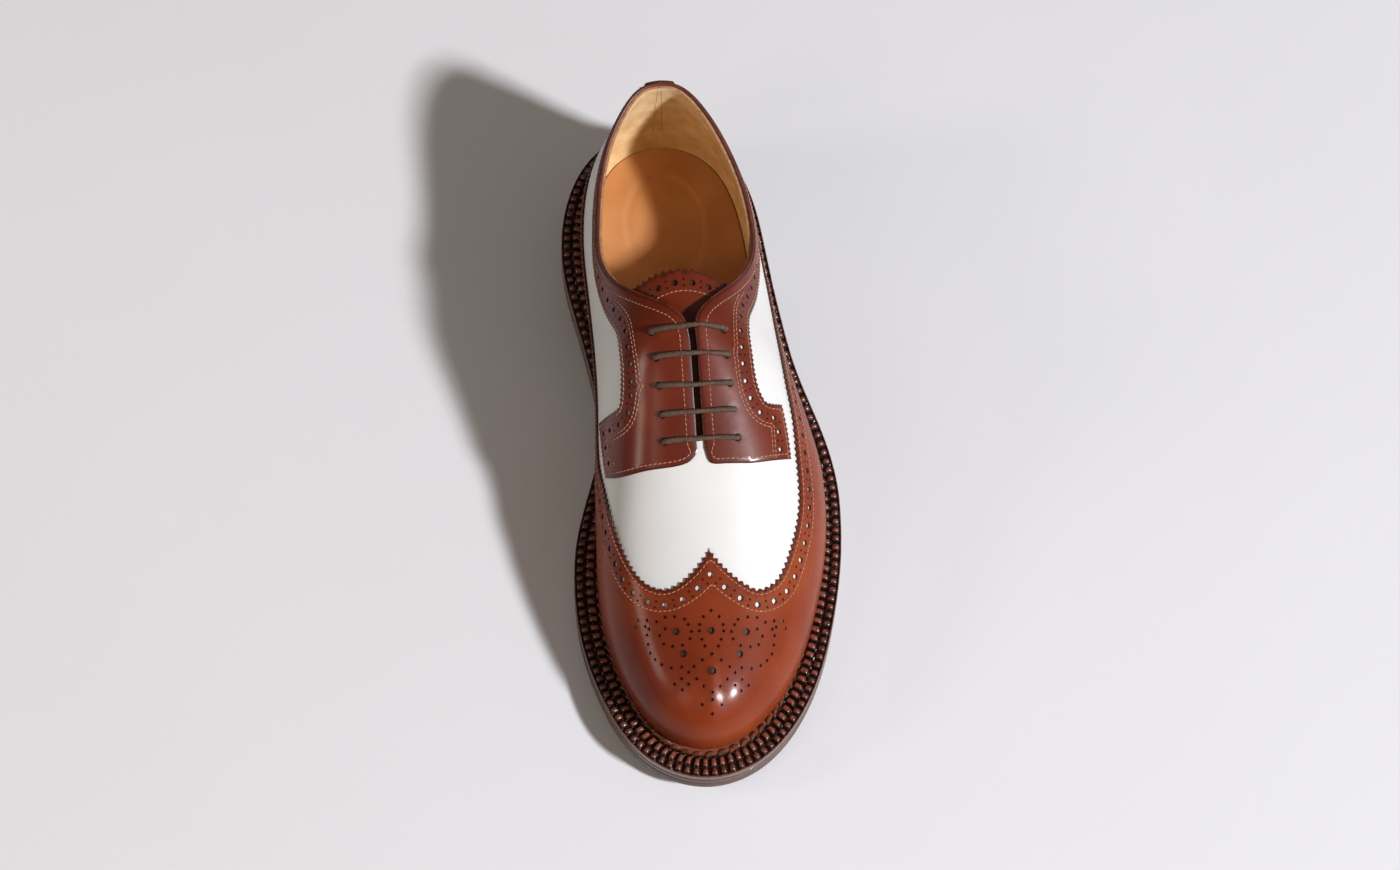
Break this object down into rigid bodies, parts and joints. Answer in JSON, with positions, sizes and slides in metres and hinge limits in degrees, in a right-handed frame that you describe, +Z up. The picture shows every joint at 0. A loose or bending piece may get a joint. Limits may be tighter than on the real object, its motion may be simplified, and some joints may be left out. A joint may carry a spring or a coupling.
{
  "type": "spectator shoe",
  "caption": "Left two-tone longwing brogue derby: hollow upper with overlays, tongue and threaded lace, on a double sole with a ridged storm welt and a stacked heel.",
  "frame": {"origin": "on the floor, under the middle of the outsole's outline", "axes": "+Z up, the toe points to -Y, the outer (lateral) side of this left shoe is +X"},
  "size_m": [0.1196, 0.3114, 0.108],
  "materials": {
    "white_calf": "smooth white calf",
    "chestnut_calf": "polished chestnut calf",
    "dark_edge_leather": "dark stained and waxed edge",
    "sole_leather": "dark satin sole leather",
    "welt_leather": "dark brown waxed welt",
    "tan_lining": "matte tan lining leather",
    "rubber": "matte black rubber",
    "waxed_cotton": "round waxed cotton"
  },
  "bodies": {
    "root": {"outsole": "sole_leather", "midsole": "dark_edge_leather", "heel_stack": "dark_edge_leather", "heel_top_lift": "rubber", "insole": "tan_lining", "welt": "welt_leather", "upper": "white_calf", "facing_lateral": "chestnut_calf", "facing_medial": "chestnut_calf", "wing_cap": "chestnut_calf", "heel_strip": "chestnut_calf", "tongue": "chestnut_calf", "lace": "waxed_cotton"}
  },
  "joints": []
}
